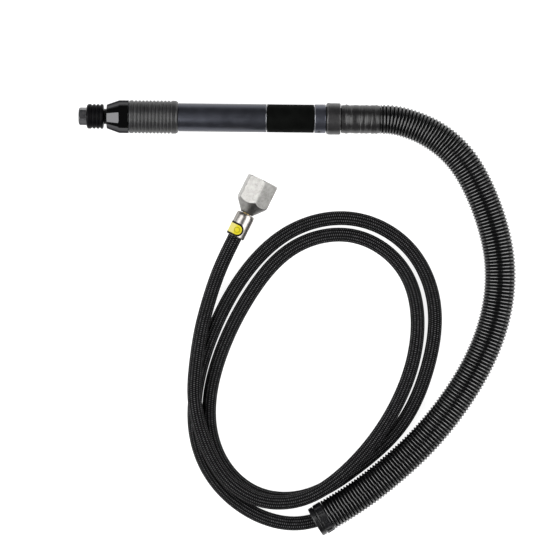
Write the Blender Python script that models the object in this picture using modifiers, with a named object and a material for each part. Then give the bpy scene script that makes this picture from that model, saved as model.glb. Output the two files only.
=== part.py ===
"""Pneumatic pencil grinder with its braided air hose and corrugated exhaust overhose.

Units are metres, +Z is up and the tool lies along +X with its collet at -X.
Stations along the tool are measured from the collet's tip, stations along the hose
fitting from the mouth of its ferrule.
"""
import math

import bmesh
import bpy
import numpy as np
from mathutils import Euler, Vector

GAP = 0.0003
MERGE = 0.00001
QUARTER_TURN = math.radians(90)

# ---- driving dimensions of the tool ----
TOOL_LENGTH = 0.1707
GRIP_RADIUS = 0.0094
NOSE_RADIUS = 0.0093
BARREL_RADIUS = 0.0080
SLEEVE_RADIUS = 0.00795
REAR_RING_RADIUS = 0.00815
CUFF_RADIUS = 0.0090
SHRINK_RADIUS = 0.00835
CHUCK_RADIUS = 0.00705
NECK_RADIUS = 0.0043
NUT_ACROSS_FLATS = 0.0090
NUT_HEX_LENGTH = 0.00435
NUT_VERTEX_ANGLE = math.radians(19.5)
SHANK_BORE_RADIUS = 0.00165

# ---- stations of the outer pieces, from the collet's tip ----
CHUCK_START = 0.00465
CHUCK_END = 0.0140
NOSE_START = 0.0159
NOSE_CONE_END = 0.0229
NOSE_END = 0.0283
GRIP_START = 0.0286
GRIP_END = 0.0562
BARREL_START = 0.0565
BARREL_END = 0.1063
SLEEVE_START = 0.1066
SLEEVE_END = 0.1332
RING_START = 0.1335
RING_END = 0.1398
CUFF_START = 0.1401
CUFF_END = 0.1482
SHRINK_START = 0.1485
HOUSING_START = 0.0252
HOUSING_END = 0.1390

# ---- air motor ----
BORE_RADIUS = 0.0066
VALVE_BORE_RADIUS = 0.0060
LINER_RADIUS = 0.0063
LINER_BORE_RADIUS = 0.0050
LINER_OFFSET = 0.0006
LINER_START = 0.0288
LINER_END = 0.0622
ROTOR_RADIUS = 0.0041
ROTOR_START = 0.0291
ROTOR_END = 0.0619
VANE_COUNT = 4
VANE_THICKNESS = 0.0010
SLOT_WIDTH = 0.0016
SLOT_BOTTOM = 0.0019
FRONT_JOURNAL_RADIUS = 0.0027
REAR_JOURNAL_RADIUS = 0.0022
FRONT_BEARING = (0.0192, 0.0240)
REAR_BEARING = (0.0658, 0.0698)
BALL_COUNT = 7
BALL_RADIUS = 0.0007
FRONT_BALL_CIRCLE = 0.00475
REAR_BALL_CIRCLE = 0.0043

# ---- throttle ----
VALVE_RADII = (0.00445, 0.0057)
VALVE_SPAN = (0.1040, 0.1320)
INLET_RADIUS = 0.0036
PIN_RADIUS = 0.0010
PIN_STATION = 0.1180
THROTTLE_TURN = math.radians(60)
SLOT_EASE = math.radians(13)

# ---- hoses ----
OVERHOSE_RADIUS = 0.0090
OVERHOSE_WALL = 0.0020
CLAMP_LENGTH = 0.0080
HOSE_RADIUS = 0.0040
HOSE_START = 0.1503
HOSE_POINT_SPACING = 0.0182
OVERHOSE_POINT_SPACING = 0.0150

# ---- fitting on the far end of the air hose ----
SWIVEL_NUT_CORNER = 0.0098
FITTING_MOUTH = Vector((0.0039, -0.0673, SWIVEL_NUT_CORNER))
FITTING_HEADING = math.radians(64.1)
FITTING_VERTEX_ANGLE = math.radians(10.5)
FERRULE_LENGTH = 0.0143
FERRULE_RADIUS = 0.0052
HOSE_SEAT = 0.0110
SWIVEL_NUT_SPAN = (0.0146, 0.0355)

TIP_X = -TOOL_LENGTH / 2

# Centre line of the overhose, from just behind the shrink sleeve to its open end.
OVERHOSE_ROUTE = [
    (0.0890, 0.0000, 0.0094), (0.0985, -0.0014, 0.0093), (0.1097, -0.0053, 0.0092),
    (0.1213, -0.0122, 0.0091), (0.1318, -0.0224, 0.0091), (0.1404, -0.0361, 0.0091),
    (0.1483, -0.0550, 0.0091), (0.1537, -0.0780, 0.0091), (0.1538, -0.0990, 0.0091),
    (0.1490, -0.1211, 0.0091), (0.1399, -0.1422, 0.0091), (0.1273, -0.1625, 0.0091),
    (0.1116, -0.1819, 0.0091), (0.0925, -0.2000, 0.0091), (0.0729, -0.2152, 0.0091),
    (0.0583, -0.2245, 0.0091),
]

# Centre line of the air hose in the open, from the overhose's end to the ferrule.
HOSE_ROUTE = [
    (0.0500, -0.2281, 0.0071), (0.0412, -0.2298, 0.0057), (0.0288, -0.2289, 0.0042),
    (0.0059, -0.2179, 0.0041), (-0.0099, -0.2002, 0.0041), (-0.0176, -0.1777, 0.0041),
    (-0.0172, -0.1538, 0.0041), (-0.0073, -0.1193, 0.0041), (0.0099, -0.0878, 0.0041),
    (0.0361, -0.0635, 0.0041), (0.0707, -0.0564, 0.0041), (0.1022, -0.0722, 0.0041),
    (0.1174, -0.1043, 0.0041), (0.1143, -0.1398, 0.0041), (0.0998, -0.1728, 0.0041),
    (0.0743, -0.1978, 0.0041), (0.0430, -0.2150, 0.0041), (0.0195, -0.2138, 0.0041),
    (0.0006, -0.1997, 0.0041), (-0.0093, -0.1755, 0.0041), (-0.0089, -0.1541, 0.0041),
    (-0.0026, -0.1310, 0.0041), (0.0135, -0.0988, 0.0041), (0.0379, -0.0727, 0.0041),
    (0.0720, -0.0663, 0.0041), (0.1006, -0.0864, 0.0041), (0.1081, -0.1210, 0.0042),
    (0.0974, -0.1600, 0.0058), (0.0842, -0.1814, 0.0101), (0.0685, -0.1990, 0.0120),
    (0.0435, -0.2153, 0.0123), (0.0200, -0.2162, 0.0123), (0.0000, -0.2038, 0.0121),
    (-0.0120, -0.1832, 0.0118), (-0.0179, -0.1600, 0.0123), (-0.0172, -0.1380, 0.0120),
    (-0.0146, -0.1200, 0.0101), (-0.0104, -0.1030, 0.0072), (-0.0062, -0.0899, 0.0065),
    (-0.0003, -0.0760, 0.0089),
]


# ---------------------------------------------------------------- scene set-up

def clear_scene():
    for item in list(bpy.data.objects):
        bpy.data.objects.remove(item, do_unlink=True)


def new_collection(name):
    collection = bpy.data.collections.new(name)
    bpy.context.scene.collection.children.link(collection)
    return collection


clear_scene()
PARTS = new_collection("pencil_grinder")
CUTTERS = new_collection("cutters")


def new_axis(name, origin, heading):
    """An empty whose local Z lies level along the heading and whose local X points down."""
    axis = bpy.data.objects.new(name, None)
    axis.location = origin
    axis.rotation_euler = (0, QUARTER_TURN, heading)
    axis.empty_display_size = 0.01
    PARTS.objects.link(axis)
    return axis


TOOL_AXIS = new_axis("tool_axis", (TIP_X, 0, GRIP_RADIUS), 0)
FITTING_AXIS = new_axis("fitting_axis", FITTING_MOUTH, FITTING_HEADING)


def finish(obj, colour, roughness, metallic):
    material = bpy.data.materials.new(obj.name + "_finish")
    material.use_nodes = True
    shader = material.node_tree.nodes["Principled BSDF"]
    shader.inputs["Base Color"].default_value = (*colour, 1.0)
    shader.inputs["Roughness"].default_value = roughness
    shader.inputs["Metallic"].default_value = metallic
    obj.data.materials.clear()
    obj.data.materials.append(material)


def steel(obj):
    finish(obj, (0.46, 0.46, 0.47), 0.30, 1.0)


def dark_steel(obj):
    finish(obj, (0.10, 0.10, 0.11), 0.35, 1.0)


def black_plastic(obj):
    finish(obj, (0.012, 0.012, 0.013), 0.25, 0.0)


def black_rubber(obj):
    finish(obj, (0.030, 0.030, 0.031), 0.60, 0.0)


def gunmetal(obj):
    finish(obj, (0.055, 0.058, 0.075), 0.35, 0.8)


def brass(obj):
    finish(obj, (0.60, 0.42, 0.17), 0.35, 1.0)


def phenolic(obj):
    finish(obj, (0.22, 0.12, 0.05), 0.55, 0.0)


# ---------------------------------------------------------------- shape helpers

def turned(name, profile, parent, steps=24, collection=None):
    """A closed turned solid.

    The profile holds (station, radius) pairs that run down the outer side from the far
    end to the near end and back up the bore; one that touches the axis is left open.
    """
    mesh = bpy.data.meshes.new(name)
    vertices = [(radius, 0.0, station) for station, radius in profile]
    edges = [(i, i + 1) for i in range(len(vertices) - 1)]
    if profile[0][1] > 0:
        edges.append((len(vertices) - 1, 0))
    mesh.from_pydata(vertices, edges, [])
    obj = bpy.data.objects.new(name, mesh)
    (collection or PARTS).objects.link(obj)
    obj.parent = parent
    screw = obj.modifiers.new("turn", "SCREW")
    screw.axis = "Z"
    screw.angle = math.tau
    screw.steps = steps
    screw.render_steps = steps
    screw.use_merge_vertices = True
    screw.merge_threshold = MERGE
    screw.use_smooth_shade = True
    return obj


def ring_profile(start, end, inner, outer):
    return [(end, outer), (start, outer), (start, inner), (end, inner)]


def bevelled_ring_profile(start, end, inner, outer, bevel):
    return [
        (end, outer - bevel), (end - bevel, outer), (start + bevel, outer),
        (start, outer - bevel), (start, inner), (end, inner),
    ]


def ring(name, start, end, inner, outer, parent, steps=16):
    return turned(name, ring_profile(start, end, inner, outer), parent, steps)


def as_cutter(obj):
    obj.hide_render = True
    obj.display_type = "WIRE"
    for collection in list(obj.users_collection):
        collection.objects.unlink(obj)
    CUTTERS.objects.link(obj)
    return obj


def prism(name, sides, radius, start, end, vertex_angle, parent):
    mesh = bpy.data.meshes.new(name)
    shape = bmesh.new()
    bmesh.ops.create_cone(shape, cap_ends=True, segments=sides, radius1=radius,
                          radius2=radius, depth=end - start)
    shape.verts.ensure_lookup_table()
    first = shape.verts[0].co
    spin = Euler((0, 0, vertex_angle - math.atan2(first.y, first.x))).to_matrix()
    bmesh.ops.rotate(shape, verts=shape.verts, matrix=spin, cent=(0, 0, 0))
    bmesh.ops.translate(shape, verts=shape.verts, vec=(0, 0, (start + end) / 2))
    shape.to_mesh(mesh)
    shape.free()
    obj = bpy.data.objects.new(name, mesh)
    PARTS.objects.link(obj)
    obj.parent = parent
    return obj


def block(name, size, centre, turn, parent):
    """A box of the given size, centred, then turned about the parent's axis."""
    mesh = bpy.data.meshes.new(name)
    shape = bmesh.new()
    bmesh.ops.create_cube(shape, size=1.0)
    bmesh.ops.scale(shape, verts=shape.verts, vec=size)
    bmesh.ops.translate(shape, verts=shape.verts, vec=centre)
    spin = Euler((0, 0, turn)).to_matrix()
    bmesh.ops.rotate(shape, verts=shape.verts, matrix=spin, cent=(0, 0, 0))
    shape.to_mesh(mesh)
    shape.free()
    obj = bpy.data.objects.new(name, mesh)
    PARTS.objects.link(obj)
    obj.parent = parent
    return obj


def radial_rod(name, radius, inner, outer, station, turn, parent, sides=12):
    """A rod that points away from the axis, at a station and an angle round it."""
    mesh = bpy.data.meshes.new(name)
    shape = bmesh.new()
    bmesh.ops.create_cone(shape, cap_ends=True, segments=sides, radius1=radius,
                          radius2=radius, depth=outer - inner)
    to_radial = Euler((0, QUARTER_TURN, 0)).to_matrix()
    bmesh.ops.rotate(shape, verts=shape.verts, matrix=to_radial, cent=(0, 0, 0))
    bmesh.ops.translate(shape, verts=shape.verts, vec=((inner + outer) / 2, 0, station))
    spin = Euler((0, 0, turn)).to_matrix()
    bmesh.ops.rotate(shape, verts=shape.verts, matrix=spin, cent=(0, 0, 0))
    shape.to_mesh(mesh)
    shape.free()
    obj = bpy.data.objects.new(name, mesh)
    PARTS.objects.link(obj)
    obj.parent = parent
    return obj


def combine(obj, other, operation):
    as_cutter(other)
    boolean = obj.modifiers.new(operation.lower() + "_" + other.name, "BOOLEAN")
    boolean.operation = operation
    boolean.solver = "EXACT"
    boolean.object = other
    return obj


def cut(obj, cutter):
    return combine(obj, cutter, "DIFFERENCE")


def join(obj, other):
    return combine(obj, other, "UNION")


def keep_within(obj, envelope):
    return combine(obj, envelope, "INTERSECT")


def natural_spline(route, spacing):
    """Evenly spaced points on the smooth curve through the route's points."""
    points = np.array(route, dtype=float)
    count = len(points)
    spans = np.linalg.norm(np.diff(points, axis=0), axis=1)
    knots = np.concatenate([[0.0], np.cumsum(spans)])
    matrix = np.eye(count)
    right = np.zeros((count, 3))
    for i in range(1, count - 1):
        before, after = spans[i - 1], spans[i]
        matrix[i, i - 1:i + 2] = (before, 2 * (before + after), after)
        slope_after = (points[i + 1] - points[i]) / after
        slope_before = (points[i] - points[i - 1]) / before
        right[i] = 6 * (slope_after - slope_before)
    bend = np.linalg.solve(matrix, right)
    fine = []
    for i in range(count - 1):
        for u in np.linspace(0.0, 1.0, 60, endpoint=False):
            v = 1.0 - u
            lift = (v ** 3 - v) * bend[i] + (u ** 3 - u) * bend[i + 1]
            fine.append(v * points[i] + u * points[i + 1] + lift * spans[i] ** 2 / 6)
    fine.append(points[-1])
    fine = np.array(fine)
    lengths = np.linalg.norm(np.diff(fine, axis=0), axis=1)
    travelled = np.concatenate([[0.0], np.cumsum(lengths)])
    steps = max(2, round(travelled[-1] / spacing))
    stops = np.linspace(0.0, travelled[-1], steps + 1)
    columns = [np.interp(stops, travelled, fine[:, k]) for k in range(3)]
    return list(zip(*columns))


def tube(name, points, radius, resolution, capped):
    curve = bpy.data.curves.new(name, "CURVE")
    curve.dimensions = "3D"
    curve.bevel_depth = radius
    curve.bevel_resolution = resolution
    curve.use_fill_caps = capped
    spline = curve.splines.new("POLY")
    spline.points.add(len(points) - 1)
    for point, place in zip(spline.points, points):
        point.co = (*place, 1.0)
    obj = bpy.data.objects.new(name, curve)
    PARTS.objects.link(obj)
    return obj


# ---------------------------------------------------------------- collet and chuck

def make_collet_nut():
    corner = NUT_ACROSS_FLATS / 2 / math.cos(math.radians(30))
    nut = prism("collet_nut", 6, corner, 0, NUT_HEX_LENGTH, NUT_VERTEX_ANGLE, TOOL_AXIS)
    chamfer = turned("collet_nut_chamfer", [
        (0.0060, 0.0), (0.0060, 0.0060), (0.0012, 0.0056), (0.0, 0.0044), (0.0, 0.0),
    ], TOOL_AXIS)
    spigot = turned("collet_nut_spigot", [
        (0.0070, 0.0), (0.0070, 0.0040), (0.0040, 0.0040), (0.0040, 0.0),
    ], TOOL_AXIS)
    bore = turned("collet_nut_bore", [
        (0.0080, 0.0), (0.0080, 0.0034), (0.0036, 0.0034), (0.0012, 0.00265),
        (-0.0010, 0.00265), (-0.0010, 0.0),
    ], TOOL_AXIS)
    keep_within(nut, chamfer)
    join(nut, spigot)
    cut(nut, bore)
    dark_steel(nut)


def make_collet():
    collet = turned("collet", [
        (0.0122, 0.0022), (0.0099, 0.0022), (0.0072, 0.00305), (0.0036, 0.00305),
        (0.0012, 0.0023), (0.0004, 0.0023), (0.0004, SHANK_BORE_RADIUS),
        (0.0122, SHANK_BORE_RADIUS),
    ], TOOL_AXIS, steps=16)
    for turn in (QUARTER_TURN / 2, -QUARTER_TURN / 2):
        slit = block("collet_slit", (0.0005, 0.0100, 0.0100), (0, 0, 0.0042), turn, TOOL_AXIS)
        cut(collet, slit)
    steel(collet)


def make_chuck_body():
    """Ribbed ring on the spindle's nose that takes the collet nut."""
    outer = [(CHUCK_END, 0.0060), (0.0135, CHUCK_RADIUS)]
    for groove in (0.0120, 0.0098, 0.0076):
        outer.append((groove + 0.0006, CHUCK_RADIUS))
        outer.append((groove, CHUCK_RADIUS - 0.00065))
        outer.append((groove - 0.0006, CHUCK_RADIUS))
    outer += [(0.0053, CHUCK_RADIUS), (CHUCK_START, 0.0063)]
    bore = [
        (CHUCK_START, 0.00435), (0.0073, 0.00435), (0.0073, 0.00345), (0.0101, 0.00255),
        (0.0102, 0.0035), (CHUCK_END, 0.0035),
    ]
    chuck = turned("chuck_body", outer + bore, TOOL_AXIS, 20)
    black_plastic(chuck)


# ---------------------------------------------------------------- spindle group

def make_spindle():
    spindle = turned("spindle", [
        (0.0735, 0.0), (0.0735, 0.0016), (0.0730, 0.0019), (0.0700, 0.0019),
        (0.0700, REAR_JOURNAL_RADIUS), (ROTOR_END, REAR_JOURNAL_RADIUS),
        (ROTOR_END, ROTOR_RADIUS), (ROTOR_START, ROTOR_RADIUS),
        (ROTOR_START, FRONT_JOURNAL_RADIUS), (0.0186, FRONT_JOURNAL_RADIUS),
        (0.0186, NECK_RADIUS), (0.0143, NECK_RADIUS), (0.0143, 0.0032), (0.0105, 0.0032),
        (0.0105, 0.0025), (0.0130, 0.0025), (0.0130, 0.0019), (0.0265, 0.0019),
        (0.0270, 0.0),
    ], TOOL_AXIS)
    depth = ROTOR_RADIUS + 0.001 - SLOT_BOTTOM
    for i in range(VANE_COUNT):
        slot = block(f"rotor_slot_{i + 1}", (depth, SLOT_WIDTH, 0.0340),
                     (SLOT_BOTTOM + depth / 2, 0, 0.0455), i * math.tau / VANE_COUNT, TOOL_AXIS)
        cut(spindle, slot)
    for side in (-1, 1):
        flat = block("wrench_flat", (0.0020, 0.0100, 0.0040),
                     (side * 0.00475, 0, 0.0160), 0, TOOL_AXIS)
        cut(spindle, flat)
    steel(spindle)


def make_vanes():
    bottom = SLOT_BOTTOM + GAP
    top = ROTOR_RADIUS - 0.0001
    length = ROTOR_END - ROTOR_START - 0.0004
    for i in range(VANE_COUNT):
        vane = block(f"vane_{i + 1}", (top - bottom, VANE_THICKNESS, length),
                     ((top + bottom) / 2, 0, (ROTOR_START + ROTOR_END) / 2),
                     i * math.tau / VANE_COUNT, TOOL_AXIS)
        phenolic(vane)


def make_ball_cage(name, span, circle):
    middle = sum(span) / 2
    cage = turned(name, ring_profile(middle - 0.0004, middle + 0.0004,
                                     circle - 0.00035, circle + 0.00035), TOOL_AXIS, 14)
    for i in range(BALL_COUNT):
        turn = i * math.tau / BALL_COUNT
        mesh = bpy.data.meshes.new(f"{name}_ball_{i + 1}")
        shape = bmesh.new()
        bmesh.ops.create_uvsphere(shape, u_segments=6, v_segments=4, radius=BALL_RADIUS)
        centre = (circle * math.cos(turn), circle * math.sin(turn), middle)
        bmesh.ops.translate(shape, verts=shape.verts, vec=centre)
        shape.to_mesh(mesh)
        shape.free()
        ball = bpy.data.objects.new(mesh.name, mesh)
        PARTS.objects.link(ball)
        ball.parent = TOOL_AXIS
        join(cage, ball)
    steel(cage)


def make_bearings():
    for side, span, inner, outer, circle in (
        ("front", FRONT_BEARING, (0.0030, 0.00375), (0.00575, 0.0065), FRONT_BALL_CIRCLE),
        ("rear", REAR_BEARING, (0.0025, 0.0033), (0.0053, 0.0063), REAR_BALL_CIRCLE),
    ):
        steel(ring(f"{side}_bearing_inner", *span, *inner, TOOL_AXIS))
        steel(ring(f"{side}_bearing_outer", *span, *outer, TOOL_AXIS))
        make_ball_cage(f"{side}_ball_cage", span, circle)


def make_rear_lock_nut():
    nut = prism("rear_lock_nut", 6, 0.0037, 0.0702, 0.0724, 0, TOOL_AXIS)
    hole = turned("lock_nut_hole", [
        (0.0740, 0.0), (0.0740, 0.0021), (0.0690, 0.0021), (0.0690, 0.0),
    ], TOOL_AXIS, 16)
    cut(nut, hole)
    brass(nut)


# ---------------------------------------------------------------- casing

def make_nose_cap():
    cap = turned("nose_cap", [
        (NOSE_END, NOSE_RADIUS), (NOSE_CONE_END, NOSE_RADIUS), (NOSE_START, 0.0068),
        (NOSE_START, 0.00465), (0.0189, 0.00465), (0.0189, 0.0068), (0.0244, 0.0068),
        (0.0244, 0.0077), (NOSE_END, 0.0077),
    ], TOOL_AXIS)
    black_plastic(cap)


def make_housing():
    """Barrel: threaded front, grip seat, bare barrel and the rear spigot for the throttle."""
    housing = turned("housing", [
        (HOUSING_END, 0.0068), (BARREL_END, 0.0068), (BARREL_END, 0.0077),
        (BARREL_END - 0.0003, BARREL_RADIUS), (BARREL_START, BARREL_RADIUS),
        (BARREL_START, 0.0074), (HOUSING_START, 0.0074), (HOUSING_START, BORE_RADIUS),
        (0.0730, BORE_RADIUS), (0.0730, VALVE_BORE_RADIUS), (HOUSING_END, VALVE_BORE_RADIUS),
    ], TOOL_AXIS)
    cut(housing, make_pin_slot())
    gunmetal(housing)


def make_pin_slot():
    """Arc slot that lets the throttle pin travel; its width fits the pin."""
    half_width = PIN_RADIUS + GAP
    start = -SLOT_EASE
    end = THROTTLE_TURN + SLOT_EASE
    angles = np.linspace(start, end, 9)
    outline = [(0.0075 * math.cos(a), 0.0075 * math.sin(a)) for a in angles]
    outline += [(0.0050 * math.cos(a), 0.0050 * math.sin(a)) for a in reversed(angles)]
    mesh = bpy.data.meshes.new("pin_slot")
    shape = bmesh.new()
    corners = [shape.verts.new((x, y, PIN_STATION - half_width)) for x, y in outline]
    face = shape.faces.new(corners)
    raised = bmesh.ops.extrude_face_region(shape, geom=[face])["geom"]
    lifted = [item for item in raised if isinstance(item, bmesh.types.BMVert)]
    bmesh.ops.translate(shape, verts=lifted, vec=(0, 0, 2 * half_width))
    bmesh.ops.recalc_face_normals(shape, faces=shape.faces)
    shape.to_mesh(mesh)
    shape.free()
    slot = bpy.data.objects.new("pin_slot", mesh)
    PARTS.objects.link(slot)
    slot.parent = TOOL_AXIS
    return slot


def make_rubber_grip():
    groove_count = 11
    pitch = 0.00207
    first_groove = 0.0313
    depth = 0.00085
    profile = [(GRIP_END, 0.0088), (GRIP_END - 0.0010, GRIP_RADIUS)]
    for i in reversed(range(groove_count)):
        middle = first_groove + i * pitch
        profile.append((middle + 0.0007, GRIP_RADIUS))
        profile.append((middle, GRIP_RADIUS - depth))
        profile.append((middle - 0.0007, GRIP_RADIUS))
    profile += [(GRIP_START + 0.0006, GRIP_RADIUS), (GRIP_START, 0.0089)]
    profile += [(GRIP_START, 0.0077), (GRIP_END, 0.0077)]
    black_rubber(turned("rubber_grip", profile, TOOL_AXIS, 20))


def make_rear_ring():
    rear_ring = turned("rear_ring", bevelled_ring_profile(
        RING_START, RING_END, 0.0071, REAR_RING_RADIUS, 0.0003), TOOL_AXIS)
    screw_angle = math.radians(247)
    hole = radial_rod("set_screw_hole", 0.00125, 0.0060, 0.0090, 0.1361, screw_angle, TOOL_AXIS)
    cut(rear_ring, hole)
    gunmetal(rear_ring)
    screw = radial_rod("set_screw", 0.00095, 0.00712, 0.0079, 0.1361, screw_angle, TOOL_AXIS)
    dark_steel(screw)


def make_motor_casing():
    """The still parts of the air motor: end plates, offset liner, springs and retainer."""
    steel(ring("wave_washer", 0.0243, 0.0249, 0.0058, 0.0065, TOOL_AXIS))
    steel(ring("front_end_plate", 0.0255, 0.0285, 0.0031, LINER_RADIUS, TOOL_AXIS))
    liner = prism("cylinder_liner", 24, LINER_RADIUS, LINER_START, LINER_END, 0, TOOL_AXIS)
    bore = prism("liner_bore", 24, LINER_BORE_RADIUS, LINER_START - 0.001, LINER_END + 0.001,
                 0, TOOL_AXIS)
    for vertex in bore.data.vertices:
        vertex.co.x += LINER_OFFSET
    cut(liner, bore)
    dark_steel(liner)
    steel(ring("rear_end_plate", 0.0625, 0.0653, 0.0026, LINER_RADIUS, TOOL_AXIS))
    steel(ring("bearing_retainer", 0.0701, 0.0721, 0.0046, LINER_RADIUS, TOOL_AXIS))


# ---------------------------------------------------------------- throttle and inlet

def make_inlet_body():
    """Air inlet tube with a locating flange, two O-ring grooves and a side port."""
    groove_floor = 0.00295
    inlet = turned("inlet_body", [
        (0.1500, INLET_RADIUS), (0.1298, INLET_RADIUS), (0.1298, groove_floor),
        (0.1282, groove_floor), (0.1282, INLET_RADIUS), (0.1078, INLET_RADIUS),
        (0.1078, groove_floor), (0.1062, groove_floor), (0.1062, INLET_RADIUS),
        (0.1035, INLET_RADIUS), (0.1035, 0.0057), (0.0985, 0.0057), (0.0985, 0.0),
        (0.1120, 0.0), (0.1130, 0.0018), (0.1500, 0.0018),
    ], TOOL_AXIS, 16)
    port = radial_rod("inlet_port", 0.0010, 0.0010, 0.0045, PIN_STATION, math.radians(120),
                      TOOL_AXIS)
    cut(inlet, port)
    brass(inlet)


def make_o_rings():
    for name, station in (("o_ring_front", 0.1070), ("o_ring_rear", 0.1290)):
        steps = 6
        profile = []
        for i in range(steps):
            angle = math.tau * i / steps + math.tau / steps / 2
            profile.append((station + 0.00045 * math.cos(angle),
                            0.0037 + 0.00045 * math.sin(angle)))
        black_rubber(turned(name, profile, TOOL_AXIS, 16))


def make_throttle():
    valve = ring("throttle_valve", *VALVE_SPAN, *VALVE_RADII, TOOL_AXIS)
    port = radial_rod("valve_port", 0.0012, 0.0040, 0.0062, PIN_STATION, math.radians(180),
                      TOOL_AXIS)
    valve_hole = radial_rod("valve_pin_hole", PIN_RADIUS + GAP, 0.0040, 0.0062, PIN_STATION,
                            0, TOOL_AXIS)
    cut(valve, port)
    cut(valve, valve_hole)
    brass(valve)
    sleeve = turned("throttle_sleeve", bevelled_ring_profile(
        SLEEVE_START, SLEEVE_END, 0.0071, SLEEVE_RADIUS, 0.0004), TOOL_AXIS)
    sleeve_hole = radial_rod("sleeve_pin_hole", PIN_RADIUS + GAP, 0.0065, 0.0085, PIN_STATION,
                             0, TOOL_AXIS)
    cut(sleeve, sleeve_hole)
    black_plastic(sleeve)
    steel(radial_rod("throttle_pin", PIN_RADIUS, 0.0048, 0.0077, PIN_STATION, 0, TOOL_AXIS))


def make_exhaust_end():
    """Exhaust muffler, overhose spigot, hose crimp collar, rubber cuff and shrink sleeve."""
    phenolic(ring("exhaust_muffler", 0.1325, 0.1385, 0.0039, 0.0057, TOOL_AXIS))
    spigot = turned("overhose_spigot", [
        (0.1620, 0.0063), (0.1412, 0.0063), (0.1412, 0.0068), (0.1393, 0.0068),
        (0.1393, 0.0055), (0.1620, 0.0055),
    ], TOOL_AXIS)
    black_plastic(spigot)
    brass(ring("crimp_collar", 0.1460, 0.1580, HOSE_RADIUS + 0.00035, 0.0052, TOOL_AXIS))
    cuff = turned("rubber_cuff", bevelled_ring_profile(
        CUFF_START, CUFF_END, 0.0071, CUFF_RADIUS, 0.0007), TOOL_AXIS)
    black_rubber(cuff)
    sleeve = turned("shrink_sleeve", bevelled_ring_profile(
        SHRINK_START, TOOL_LENGTH, 0.00665, SHRINK_RADIUS, 0.0003), TOOL_AXIS)
    black_rubber(sleeve)


# ---------------------------------------------------------------- hoses and fitting

def make_overhose():
    start = [(-TIP_X + GAP, 0, GRIP_RADIUS)]
    points = start + natural_spline(OVERHOSE_ROUTE, OVERHOSE_POINT_SPACING)
    hose = tube("overhose", points, OVERHOSE_RADIUS, 4, False)
    wall = hose.modifiers.new("wall", "SOLIDIFY")
    wall.thickness = OVERHOSE_WALL
    wall.offset = -1.0
    black_plastic(hose)
    return points


def make_end_clamp(overhose_points):
    """Moulded collar that closes the overhose round the air hose."""
    end = Vector(overhose_points[-1])
    direction = (end - Vector(overhose_points[-2])).normalized()
    heading = math.atan2(direction.y, direction.x)
    clamp_axis = new_axis("clamp_axis", end + direction * GAP, heading)
    clamp = turned("end_clamp", bevelled_ring_profile(
        0, CLAMP_LENGTH, 0.0069, OVERHOSE_RADIUS, 0.0002), clamp_axis)
    black_plastic(clamp)


def fitting_point(station):
    along = Vector((math.cos(FITTING_HEADING), math.sin(FITTING_HEADING), 0))
    return tuple(FITTING_MOUTH + along * station)


def make_air_hose():
    inside_tool = [(TIP_X + HOSE_START, 0, GRIP_RADIUS), (0.0750, 0, GRIP_RADIUS)]
    overhose_mouth = [(0.0583, -0.2248, 0.0083)]
    route = inside_tool + OVERHOSE_ROUTE[:-1] + overhose_mouth + HOSE_ROUTE
    points = natural_spline(route + [fitting_point(0)], HOSE_POINT_SPACING)
    points.append(fitting_point(HOSE_SEAT))
    hose = tube("air_hose", points, HOSE_RADIUS, 3, True)
    black_rubber(hose)


def make_fitting():
    ferrule = turned("crimp_ferrule", [
        (FERRULE_LENGTH, FERRULE_RADIUS), (0, FERRULE_RADIUS), (0, HOSE_RADIUS + 0.00035),
        (0.0130, HOSE_RADIUS + 0.00035), (0.0130, 0.0026), (FERRULE_LENGTH, 0.0026),
    ], FITTING_AXIS)
    steel(ferrule)
    stem = turned("hose_stem", [
        (0.0224, 0.0052), (0.0189, 0.0052), (0.0189, 0.0022), (0.0113, 0.0022),
        (0.0113, 0.0014), (0.0224, 0.0014),
    ], FITTING_AXIS, 16)
    brass(stem)
    black_rubber(ring("seal_washer", 0.0227, 0.0240, 0.0022, 0.0053, FITTING_AXIS))
    start, end = SWIVEL_NUT_SPAN
    nut = prism("swivel_nut", 6, SWIVEL_NUT_CORNER, start, end, FITTING_VERTEX_ANGLE,
                FITTING_AXIS)
    envelope = turned("swivel_nut_envelope", [
        (end, 0.0), (end, 0.0088), (end - 0.0007, 0.0100), (0.0220, 0.0100),
        (start, 0.0034), (start, 0.0),
    ], FITTING_AXIS, 32)
    cavity = turned("swivel_nut_cavity", [
        (end + 0.001, 0.0), (end + 0.001, 0.0059), (0.0186, 0.0059), (0.0186, 0.0026),
        (start - 0.001, 0.0026), (start - 0.001, 0.0),
    ], FITTING_AXIS)
    keep_within(nut, envelope)
    cut(nut, cavity)
    steel(nut)


def main():
    make_collet_nut()
    make_collet()
    make_chuck_body()
    make_spindle()
    make_vanes()
    make_bearings()
    make_rear_lock_nut()
    make_nose_cap()
    make_housing()
    make_rubber_grip()
    make_rear_ring()
    make_motor_casing()
    make_inlet_body()
    make_o_rings()
    make_throttle()
    make_exhaust_end()
    overhose_points = make_overhose()
    make_end_clamp(overhose_points)
    make_air_hose()
    make_fitting()


main()
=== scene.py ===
"""Looks of a pneumatic pencil grinder with a corrugated overhose and a braided air hose."""
import math

import bmesh
import bpy
import numpy as np
from mathutils import Matrix, Vector


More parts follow.
